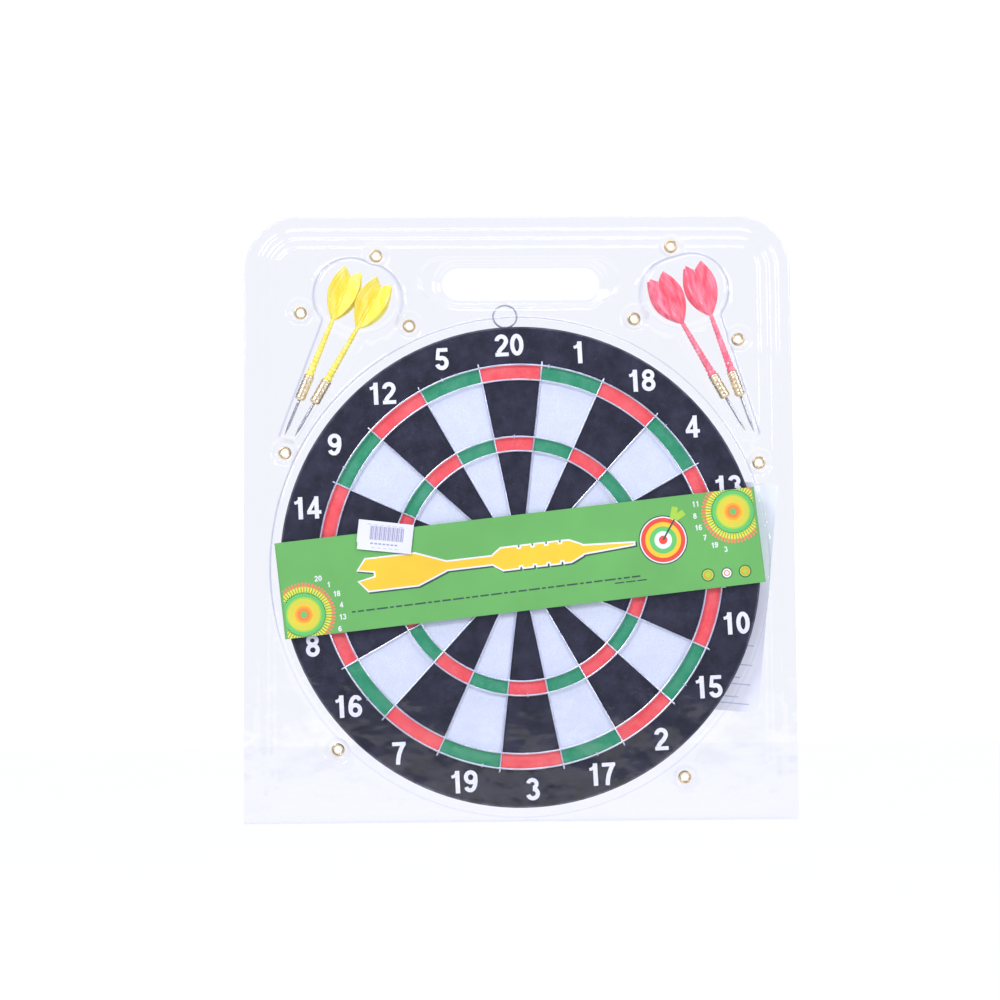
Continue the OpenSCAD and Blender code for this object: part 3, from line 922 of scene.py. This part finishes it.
def board_print():
    """The printed face: beds, doubles, trebles and bull in fields of colour, and a rubbed edge."""
    black, white, red, green, edge = range(5)
    rings = [0, BULL - 0.3, OUTER_BULL - 0.4, TREBLE_INNER + 0.3, TREBLE_OUTER + 0.2]
    rings += [DOUBLE_INNER + 0.2, DOUBLE_OUTER + 0.3, BOARD_R - 1.4, BOARD_R - 0.25]
    around = BEDS * 12
    near, far = BOARD_FACE_D - 0.04, BOARD_FACE_D + 0.06
    build = Build()
    verts, faces, slots = [on_board(0, 0, far)], [], []
    for r in rings[1:]:
        for k in range(around):
            a = math.radians(90 - BED / 2 + 360 * k / around)
            rub = 0.3 * noise.noise(Vector((math.cos(a) * 6, math.sin(a) * 6, r))) if r == rings[-2] else 0
            verts.append(on_board(*polar((0, 0), r + rub, a), far))
    base = len(verts)
    for k in range(around):
        verts.append(Vector((verts[base - around + k].x, -near * MM, verts[base - around + k].z)))
    last = len(rings) - 1
    for k in range(around):
        n = (k + 1) % around
        bed, score = (black, red) if (k // 12) % 2 == 0 else (white, green)
        colours = [red, green, bed, score, bed, score, black, edge]
        faces.append((0, 1 + k, 1 + n))
        slots.append(colours[0])
        for j in range(1, last):
            a, b = 1 + (j - 1) * around, 1 + j * around
            faces.append((a + k, b + k, b + n, a + n))
            slots.append(colours[j])
        a = 1 + (last - 1) * around
        faces.append((a + k, base + k, base + n, a + n))
        slots.append(edge)
    faces.append(tuple(base + k for k in reversed(range(around))))
    slots.append(edge)
    build.verts, build.faces, build.slots = verts, faces, slots
    prints = [PRINT_BLACK, PRINT_WHITE, PRINT_RED, PRINT_GREEN, BOARD_EDGE]
    build.make("board_print", prints, slot="board_paper", smooth_faces=False)


def numerals():
    """The twenty numbers, upright on the board and not turned round with their beds."""
    build = Build()
    for i, number in enumerate(NUMBERS):
        a = math.radians(90 - BED * i)
        cx, cz = polar((0, 0), NUMBER_R, a)

        def lay(x, y, d, cx=cx, cz=cz):
            return on_board(cx + x, cz + y, d)

        draw_number(build, str(number), NUMBER_H, BOARD_FACE_D + 0.04, BOARD_FACE_D + 0.12, lay)
    build.make("board_numbers", [PRINT_NUMBER], slot="board_paper", smooth_faces=False)


def wire_circle(r, depth, seed):
    """Points of a ring of wire bent by hand: nearly round, with slight waves."""
    n = max(40, round(r * 2.4))
    path = []
    for k in range(n):
        a = 2 * math.pi * k / n
        wobble = 0.22 * noise.noise(Vector((math.cos(a) * 2.5, math.sin(a) * 2.5, seed)))
        path.append(on_board(*polar((0, 0), r + wobble, a), depth))
    return path


def spider():
    """Wire rings welded over straight wires, which overrun the double ring and hook into the board."""
    rings = Build()
    named = (DOUBLE_OUTER, DOUBLE_INNER, TREBLE_OUTER, TREBLE_INNER, OUTER_BULL)
    for i, r in enumerate(named):
        rings.tube(wire_circle(r, RING_D, i * 3.7), WIRE_R * MM, closed=True)
    rings.tube(wire_circle(BULL, RADIAL_D, 31), WIRE_R * MM, closed=True)
    rings.make(
        "spider_rings", [WIRE], slot="spider_steel",
        replaces=[
            "double_outer_wire", "double_inner_wire", "treble_outer_wire", "treble_inner_wire",
            "outer_bull_wire", "bull_wire",
        ],
    )
    straight = Build()
    for i in range(BEDS):
        a = math.radians(90 + BED * (i + 0.5))
        path = []
        for k in range(27):
            r = mix(OUTER_BULL - 0.4, DOUBLE_OUTER + 2.2, k / 26)
            off = 0.35 * noise.noise(Vector((r * 0.02, i * 5.1, 2.2)))
            path.append(on_board(*beside(r, off, a), RADIAL_D))
        for over, sink in ((2.9, 0.25), (3.3, 0.9)):
            path.append(on_board(*polar((0, 0), DOUBLE_OUTER + over, a), RADIAL_D - sink))
        straight.tube(path, WIRE_R * MM)
    straight.make("spider_radials", [WIRE], slot="spider_steel", replaces=["radial_wires"])


def staple_path(gap, leg, lay, bend=0.7):
    """A bent staple over a wire along y: up one leg, across the crown and down the other."""
    half = gap / 2
    turns = [math.radians(a) for a in range(0, 91, 18)]
    path = [(-half, -leg)]
    path += [(-half + bend - bend * math.cos(q), -bend + bend * math.sin(q)) for q in turns]
    path += [(half - bend + bend * math.sin(q), -bend + bend * math.cos(q)) for q in turns]
    path += [(half, -leg)]
    return [lay(x, up) for x, up in path]


def staples():
    """Staples over the outer double and treble wires, each driven a little askew."""
    build = Build()
    crown = RING_D + WIRE_R + STAPLE_R
    seats = [(DOUBLE_OUTER, 90 - BED * (2 * i + 1) + drift) for i, drift in enumerate(DOUBLE_STAPLE_DRIFT)]
    seats += [(TREBLE_OUTER, 90 + 90 * (i + 1)) for i in range(4)]
    for k, (r, degrees) in enumerate(seats):
        a = math.radians(degrees)
        skew = 0.18 * math.sin(k * 2.3)

        def lay(x, up, a=a, r=r, skew=skew):
            along, across = x * math.cos(skew), x * math.sin(skew)
            return on_board(*beside(r + along, across, a), crown + up)

        path = staple_path(2 * WIRE_R + 2 * STAPLE_R + 0.2, crown - BOARD_FACE_D + 3, lay)
        build.tube(path, STAPLE_R * MM, sides=8)
    build.make("board_staples", [WIRE], slot="spider_steel", replaces=["wire_staples"])


def hanger():
    """The wire ring on the rim and the staple it turns in."""
    low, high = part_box("hanging_ring")
    cx, cz = (low.x + high.x) / 2 / MM, (low.z + high.z) / 2 / MM
    depth = -(low.y + high.y) / 2 / MM
    wire = -(low.y - high.y) / 2 / MM
    mean = (high.x - low.x) / 2 / MM - wire
    ring = Build()
    path = []
    for k in range(72):
        a = 2 * math.pi * k / 72
        r = mean - 0.25 + 0.25 * math.cos(2 * a)
        path.append(place(*polar((cx, cz), r, a), depth))
    ring.tube(path, wire * MM, closed=True, sides=12)
    ring.make("hanger_ring", [RING_WIRE], body="ring", slot="ring_steel", replaces=["hanging_ring"])
    low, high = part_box("hanger_staple")
    crown = high.z / MM - STAPLE_R
    staple = Build()
    gap = (high.y - low.y) / MM - 2 * STAPLE_R
    path = staple_path(gap, crown - low.z / MM - 1, lambda x, up: place(cx, crown + up, depth + x))
    staple.tube(path, STAPLE_R * MM, sides=10)
    staple.make("hanger_hook", [RING_WIRE], slot="ring_steel", replaces=["hanger_staple"])


# ---- Eyelets ----
def facing_front(x, z):
    """A frame at a place on the back face whose own z points forward, in metres."""
    return Matrix.Translation(place(x, z, 0)) @ Matrix.Rotation(math.radians(90), 4, "X")


def eyelets():
    """Rolled brass eyelets, each pressed a little differently, and the rings they are clinched over."""
    front, back = Build(), Build()
    for k, (x, z) in enumerate(EYELETS):
        lip = 5.15 - 0.12 * abs(math.sin(k * 1.7))
        profile = [(3.2, 0.1), (3.9, 0.1), (3.9, 2.02), (lip - 0.1, 2.02), (lip, 2.12), (lip - 0.06, 2.3)]
        profile += [(lip - 0.35, 2.5), (4.35, 2.6), (3.85, 2.56), (3.5, 2.4), (3.28, 2.1), (3.22, 1.7)]
        front.lathe([(r * MM, d * MM) for r, d in profile], facing_front(x, z), around=56, loop=True)
        ring = [(4.3, 0.1), (5.15, 0.1), (5.15, 0.45), (4.95, 0.68), (4.45, 0.7), (4.3, 0.5)]
        back.lathe([(r * MM, d * MM) for r, d in ring], facing_front(x, z), around=48, loop=True)
    front.make("rolled_eyelets", [EYELET_BRASS], body="cover", slot="eyelet_brass", replaces=["eyelets"])
    back.make("clinch_rings", [EYELET_BRASS], slot="eyelet_brass", replaces=["eyelet_washers"])


# ---- Darts ----
def dart_matrix(i):
    """A dart's own frame: its origin at the point, and its z along the dart."""
    x, z, lean = DARTS[i]
    return Matrix.Translation(place(x, z, DART_D)) @ Matrix.Rotation(math.radians(lean), 4, "Y")


def dart_barrel(build, matrix):
    """Turned barrel: a nose, a knurled grip between rings, a plain waist and a tail collar."""
    rows = [(1.1, 0, 0), (2.7, 0, 0), (3.6, 0.7, 0), (BARREL_R, 1.9, 0), (BARREL_R, 2.7, 0)]
    z = 2.9
    for _ in range(4):
        for k in range(7):
            rows.append((BARREL_R - (0.05 if k % 2 else 0.24), z, 0.16 if 0 < k < 6 else 0))
            z += 0.36
        rows += [(BARREL_R - 0.5, z, 0), (BARREL_R - 0.5, z + 0.5, 0), (BARREL_R, z + 0.62, 0)]
        z += 1.1
    rows += [(BARREL_R, z + 0.6, 0), (BARREL_R - 0.35, z + 0.9, 0), (BARREL_R - 0.35, BARREL_L - 2.2, 0)]
    rows += [(BARREL_R, BARREL_L - 2, 0), (BARREL_R, BARREL_L - 0.7, 0)]
    rows += [(BARREL_R - 0.6, BARREL_L, 0), (1.7, BARREL_L, 0)]
    profile = [(r, BARREL_Z + up) for r, up, _ in rows]
    build.lathe(profile, matrix, around=60, cuts=[knurl for _, _, knurl in rows], capped=True)


def fin_edge(t):
    """Reach of a fin from the axis at a fraction of its length."""
    return 1.8 + (FIN_R - 1.8) * math.sin(math.radians(147) * t ** 0.85)


def dart_fin(build, matrix, turn, sign, seed):
    """One fin: a thin plate with moulded ribs that fan out from the stem, thinner towards its edge."""
    along, across = 40, 36
    rot = matrix @ Matrix.Rotation(math.radians(turn), 4, "Z")
    verts = []
    for side in (-1, 1):
        for i in range(along + 1):
            t = i / along
            for k in range(across + 1):
                w = k / across
                reach = mix(0.7, fin_edge(t) - 0.12, w)
                tail = 5 * (1 - min(1, reach / 9)) * smooth(0.55, 1, t)
                z = FIN_Z + FIN_L * t - tail
                fan = math.sin(w * 24 + t * 3 + seed)
                rib = 0.3 * max(0, fan) * smooth(0, 0.12, w) * smooth(1, 0.9, w)
                thick = mix(0.28, 0.14, w ** 3) + rib * (0.4 if t > 0.97 else 1)
                bow = 0.3 * math.sin(t * 3.4 + seed) * w * w
                verts.append(rot @ Vector((sign * reach, side * thick + bow, z)))
    n = (along + 1) * (across + 1)
    faces = []
    for i in range(along):
        for k in range(across):
            a = i * (across + 1) + k
            b = a + across + 1
            faces.append((a, a + 1, b + 1, b))
            faces.append((n + a, n + b, n + b + 1, n + a + 1))
        a, b = i * (across + 1), (i + 1) * (across + 1)
        faces.append((a, b, n + b, n + a))
        a, b = (i + 2) * (across + 1) - 1, (i + 1) * (across + 1) - 1
        faces.append((a, b, n + b, n + a))
    for k in range(across):
        faces.append((k + 1, k, n + k, n + k + 1))
        a = along * (across + 1) + k
        faces.append((a, a + 1, n + a + 1, n + a))
    build.add(verts, faces)


def dart_stem(build, matrix):
    """Ribbed stem that tapers from a collar to the flight, with its end buried between the fins."""
    rows = [(0, STEM_Z - 6), (1.5, STEM_Z - 6), (1.5, STEM_Z), (3.1, STEM_Z)]
    rows += [(3.4, STEM_Z + 0.4), (3.4, STEM_Z + 2.6)]
    rows += [(2.6, STEM_Z + 3.2), (2.6, STEM_Z + 4.4), (3.2, STEM_Z + 5)]
    z = STEM_Z + 7
    while z < FIN_Z + 4:
        t = (z - STEM_Z) / (FIN_Z - STEM_Z)
        r = mix(3.05, 1.75, min(1, t))
        rows += [(r, z), (r - 0.32, z + 0.45), (r - 0.32, z + 1.5), (r, z + 1.95)]
        z += 3.3
    rows += [(1.5, FIN_Z + 10), (1.1, DART_L - 8), (0.6, DART_L - 6.4), (0, DART_L - 6.2)]
    build.lathe(rows, matrix, around=28)


def darts():
    """Two yellow darts and two red ones, each a point, a barrel and a stem with its flight."""
    needle = [(0, 0), (0.16, 0.15), (0.5, 3), (0.95, 7), (1.1, 9.5), (1.1, 28)]
    needle += [(1.06, BARREL_Z + 1), (0, BARREL_Z + 1)]
    for i in range(4):
        body = f"dart_{i + 1}"
        matrix = dart_matrix(i) @ Matrix.Scale(MM, 4)
        plastic, colour = (YELLOW, "yellow_plastic") if i < 2 else (RED, "red_plastic")
        point = Build()
        point.lathe(needle, matrix, 24)
        point.make(f"{body}_needle", [STEEL], body=body, slot="point_steel", replaces=[f"{body}_point"])
        barrel = Build()
        dart_barrel(barrel, matrix)
        old = f"{body}_barrel"
        barrel.make(f"{body}_grip", [BARREL_BRASS], body=body, slot="barrel_brass", replaces=[old])
        tail = Build()
        dart_stem(tail, matrix)
        for k, turn in enumerate((45, 135)):
            for sign in (-1, 1):
                dart_fin(tail, matrix, turn, sign, i * 1.3 + k * 2.1 + sign)
        tail.make(f"{body}_tail", [plastic], body=body, slot=colour, replaces=[f"{body}_flight"])


# ---- Print on the card band, the labels and the leaflet ----
def on_band(u, v, d):
    """Band coordinates, along and across from its middle, to a place."""
    return place(*turned(u, v + BAND_SHIFT, BAND_SLOPE), d)


def clipped(outline, u_max, v_max):
    """A convex outline cut to a rectangle about the origin."""
    for axis, sign, limit in ((0, 1, u_max), (0, -1, u_max), (1, 1, v_max), (1, -1, v_max)):
        kept = []
        for a, b in zip(outline, outline[1:] + outline[:1]):
            ia, ib = sign * a[axis] <= limit, sign * b[axis] <= limit
            if ia:
                kept.append(a)
            if ia != ib:
                t = (sign * limit - a[axis]) / (b[axis] - a[axis])
                kept.append((mix(a[0], b[0], t), mix(a[1], b[1], t)))
        outline = kept
        if len(outline) < 3:
            return []
    return outline


class BandPrint(Build):
    """Layers of ink on the band, each a hair above the last."""

    def ink(self, outline, layer, colour):
        shape = clipped(outline, BAND_HALF - 2.4, BAND_W / 2 - 0.15)
        if shape:
            self.plate(shape, BAND_FACE_D - 0.02, BAND_FACE_D + 0.015 + 0.02 * layer, on_band, INK[colour])

    def discs(self, u, v, *discs):
        """Discs of (radius, colour) on one another, the widest first."""
        for layer, (r, colour) in enumerate(discs):
            self.ink(circle_points((u, v), r, max(0.4, r * 0.12)), layer, colour)

    def line(self, a, b, width, layer, colour):
        du, dv = b[0] - a[0], b[1] - a[1]
        n = math.hypot(du, dv)
        ou, ov = -dv / n * width / 2, du / n * width / 2
        corners = ((a, -1), (b, -1), (b, 1), (a, 1))
        self.ink([(p[0] + side * ou, p[1] + side * ov) for p, side in corners], layer, colour)

    def number(self, text, u, v, height, colour):
        def lay(x, y, d):
            return on_band(u + x, v + y, d)

        draw_number(self, text, height, BAND_FACE_D - 0.02, BAND_FACE_D + 0.015, lay, INK[colour])


def sunburst(print_, u, v, first, numbers):
    """A disc like a small board, ringed by two-coloured teeth, with an arc of numbers beside it."""
    teeth = 56
    for k in range(teeth):
        a = 2 * math.pi * (k + 0.5) / teeth
        for r0, r1, w0, w1, colour in ((16.6, 21.8, 0.4, 0.85, "lemon"), (21.8, 25.2, 0.95, 0.65, "coral")):
            quad = [beside(r, w, a) for r, w in ((r0, -w0), (r1, -w1), (r1, w1), (r0, w0))]
            print_.ink([(u + x, v + y) for x, y in quad], 0, colour)
    print_.discs(
        u, v, (17.4, "green"), (13.8, "lime"), (12.6, "straw"), (8.6, "yellow"),
        (6.8, "amber"), (4.9, "orange"), (2.5, "green"),
    )
    for k, number in enumerate(numbers):
        at = polar((u, v), 30.5, math.radians(first - BED * k))
        print_.number(str(number), *at, 4.4, "white")


def outset(outline, by):
    """An outline with every corner moved out by the given distance."""
    grown = []
    for a, b, c in zip(outline[-1:] + outline[:-1], outline, outline[1:] + outline[:1]):
        before, after = (Vector(b) - Vector(a)).normalized(), (Vector(c) - Vector(b)).normalized()
        out = Vector((before.y + after.y, -before.x - after.x))
        out *= by * min(1.4, 2 / max(out.length_squared, 0.01))
        grown.append((b[0] + out.x, b[1] + out.y))
    return grown


def pictogram(print_, grow, shift, layer, colour):
    """A long dart in outline, drawn larger by grow and moved by shift for its border and shadow."""
    half = [(0.06, 2.4), (0, 4.6), (0.03, 12.3), (0.21, 12.3), (0.32, 3), (0.485, 3), (0.5, 5.5), (0.52, 8.4)]
    for k in range(4):
        a = 0.576 + 0.05 * k
        half += [(a, 8.4), (a + 0.002, 6.4), (a + 0.016, 6.4), (a + 0.018, 8.4)]
    half += [(0.768, 8.2), (0.81, 4), (0.815, 3), (1, 0.5)]
    length = PICTURE_TO - PICTURE_FROM
    whole = [(x * length, -y) for x, y in half] + [(x * length, y) for x, y in reversed(half)]
    shape = [(PICTURE_FROM + shift + x, PICTURE_V - shift + y) for x, y in outset(whole, grow)]
    print_.plate(shape, BAND_FACE_D - 0.02, BAND_FACE_D + 0.015 + 0.02 * layer, on_band, INK[colour])


def band_print():
    """The band's artwork: a long dart, a small target with a dart, two sunbursts, discs and rules."""
    print_ = BandPrint()
    pictogram(print_, 1.5, 1.1, 0, "dark")
    pictogram(print_, 1.3, 0, 1, "white")
    pictogram(print_, 0, 0, 2, "yellow")
    sunburst(print_, *SUN_LEFT, 62, (20, 1, 18, 4, 13, 6))
    sunburst(print_, *SUN_RIGHT, 252, (3, 19, 7, 16, 8, 11))
    u, v = TARGET_AT
    print_.discs(
        u, v, (19.5, "dark"), (18.6, "white"), (17.6, "red"), (14.2, "yellow"),
        (10.8, "green"), (7, "white"), (3.4, "red"),
    )
    print_.line((u, v), (u + 12, v + 17), 1.3, 8, "dark")
    print_.line((u + 11, v + 15.5), (u + 19, v + 20), 5, 9, "lime")
    print_.line((u + 9.6, v + 15.5), (u + 12.5, v + 25), 5, 10, "lime")
    for (du, dv, r), fill in zip(ICONS, ("lime", "white", "lime")):
        print_.discs(du, dv, (r, "dark"), (r - 0.8, fill), (r - 2, "orange"), (r - 2.8, fill))
    start, end, run = -136.7, 98, 235
    u = start
    for k in range(38):
        # Dashes of four lengths stand for the words of a caution line
        word = 3 + 1.9 * ((k * 5) % 4)
        if u + word > end:
            break
        v = mix(-22.9, -21.6, (u - start) / run)
        print_.line((u, v), (u + word, v + 0.01 * word), 1.3, 0, "dark")
        u += word + 1.7
    for k in range(3):
        print_.line((72 + 9 * k, -25), (79.5 + 9 * k, -25), 1, 0, "dark")
    print_.make("band_print", INKS, slot="band_card", smooth_faces=False)


def on_paper(at, slope):
    """Turns places on a sloping label or leaflet into places in the frame."""
    c, s = math.cos(math.radians(slope)), math.sin(math.radians(slope))
    return lambda x, y, d: place(at[0] + x * c - y * s, at[1] + x * s + y * c, d)


def bar(build, lay, x, y, w, h, near, slot=0):
    """A printed bar on paper whose face is at the depth near."""
    build.plate([(x, y), (x + w, y), (x + w, y + h), (x, y + h)], near - 0.01, near + 0.02, lay, slot)


def label_print():
    """Bars and dashes on the two labels, with no real code or wording."""
    face = -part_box("price_label")[0][1] / MM
    over = -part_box("price_label_overlay")[0][1] / MM
    build = Build()
    upper = on_paper(*LABEL_TOP)
    for k in range(6):
        bar(build, upper, 7 + k * 5, -3.4, 3.4, 0.8, face)
    lower = on_paper(*LABEL_FOOT)
    x = 9
    for k in range(24):
        w = 0.35 + 0.35 * ((k * 5) % 3)
        bar(build, lower, x, 8.6, w, 6.35, over, 1)
        bar(build, lower, x, 15.05, w, 4.4, face, 1)
        x += w + 0.28 + 0.15 * ((k * 7) % 3)
    for k in range(7):
        bar(build, lower, 10 + k * 3.2, 5, 2.2, 1.2, over, 1)
    for k in range(5):
        bar(build, lower, 11 + k * 4.6, 2, 3, 0.8, over)
    build.make("label_print", [INK_FAINT, INK_GREY], body="cover", slot="label_paper", smooth_faces=False)


def leaflet_print():
    """Faint rules on the leaflet behind the board."""
    face = -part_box("leaflet")[0][1] / MM
    build = Build()
    lay = on_paper(*LEAFLET_CORNER)
    for k in range(11):
        bar(build, lay, -118, 6 + 5.2 * k, 110 - 9 * (k % 3), 0.8, face)
    build.make("leaflet_print", [INK_FAINT], slot="leaflet_paper", smooth_faces=False)


# ---- CAD nodes that are shown as they are ----
def finish_cad():
    for name, material in (
        ("back_shell", CLEAR), ("board_core", BOARD_BACK), ("belly_band", CARD_GREEN),
        ("leaflet", LEAFLET_PAPER), ("price_label", PAPER), ("price_label_overlay", PAPER),
    ):
        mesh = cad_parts[name].data
        mesh.materials.clear()
        mesh.materials.append(material)


# ---- Studio ----
def studio():
    """A pale floor below the reach of the opened cover, a white background and three soft lights."""
    scene = bpy.context.scene
    size, z = 9, 2 * cad_box[0][2] - cad_box[1][2] - 0.05
    corners = [(-size, -size, z), (size, -size, z), (size, size, z), (-size, size, z)]
    floor = mesh_object("floor", corners, [(0, 1, 2, 3)], [floor_paint()], solid=False)

    world = bpy.data.worlds.new("studio")
    scene.world = world
    world.use_nodes = True
    tree = world.node_tree
    tree.nodes.clear()
    seen = tree.nodes.new("ShaderNodeLightPath")
    white = tree.nodes.new("ShaderNodeBackground")
    white.inputs["Color"].default_value = (1, 1, 1, 1)
    white.inputs["Strength"].default_value = 1.04
    room = tree.nodes.new("ShaderNodeBackground")
    room.inputs["Color"].default_value = (0.48, 0.52, 0.85, 1)
    room.inputs["Strength"].default_value = 0.6
    both = tree.nodes.new("ShaderNodeMixShader")
    out = tree.nodes.new("ShaderNodeOutputWorld")
    tree.links.new(seen.outputs["Is Camera Ray"], both.inputs[0])
    tree.links.new(room.outputs[0], both.inputs[1])
    tree.links.new(white.outputs[0], both.inputs[2])
    tree.links.new(both.outputs[0], out.inputs["Surface"])

    aim = Vector((0, 0, 0.04))
    for name, at, width, height, watts, colour in (
        ("key", (-1.3, -1.7, 1.5), 0.75, 0.75, 40, (1, 0.97, 0.92)),
        ("fill", (1.8, -1.4, 0.9), 0.6, 0.9, 20, (1, 0.98, 0.95)),
        ("top", (0.1, -0.5, 1.7), 1.6, 0.4, 15, (1, 1, 1)),
    ):
        data = bpy.data.lights.new(name, "AREA")
        data.shape = "RECTANGLE"
        data.size, data.size_y, data.energy, data.color = width, height, watts, colour
        light = bpy.data.objects.new(name, data)
        light.location = at
        light.rotation_mode = "QUATERNION"
        light.rotation_quaternion = (aim - Vector(at)).to_track_quat("-Z", "Y")
        scene.collection.objects.link(light)
    scene.view_settings.view_transform = "Standard"


def camera():
    """The photograph's view: from straight ahead, a little left of the middle and level with the board."""
    yaw, pitch, roll = (math.radians(a) for a in (CAMERA_YAW, CAMERA_PITCH, CAMERA_ROLL))
    ahead = Vector((math.sin(yaw) * math.cos(pitch), math.cos(yaw) * math.cos(pitch), math.sin(pitch)))
    right = ahead.cross(Vector((0, 0, 1))).normalized()
    up = right.cross(ahead)
    right, up = right * math.cos(roll) - up * math.sin(roll), up * math.cos(roll) + right * math.sin(roll)
    data = bpy.data.cameras.new("camera")
    data.lens, data.sensor_width = 70, 36
    cam = bpy.data.objects.new("camera", data)
    cam.matrix_world = Matrix((
        (right.x, up.x, -ahead.x, CAMERA_AT[0]),
        (right.y, up.y, -ahead.y, CAMERA_AT[1]),
        (right.z, up.z, -ahead.z, CAMERA_AT[2]),
        (0, 0, 0, 1),
    ))
    bpy.context.scene.collection.objects.link(cam)
    bpy.context.scene.camera = cam


camera()
studio()
finish_cad()
cover_sheet()
fold_strip()
board_print()
numerals()
spider()
staples()
hanger()
eyelets()
darts()
band_print()
label_print()
leaflet_print()
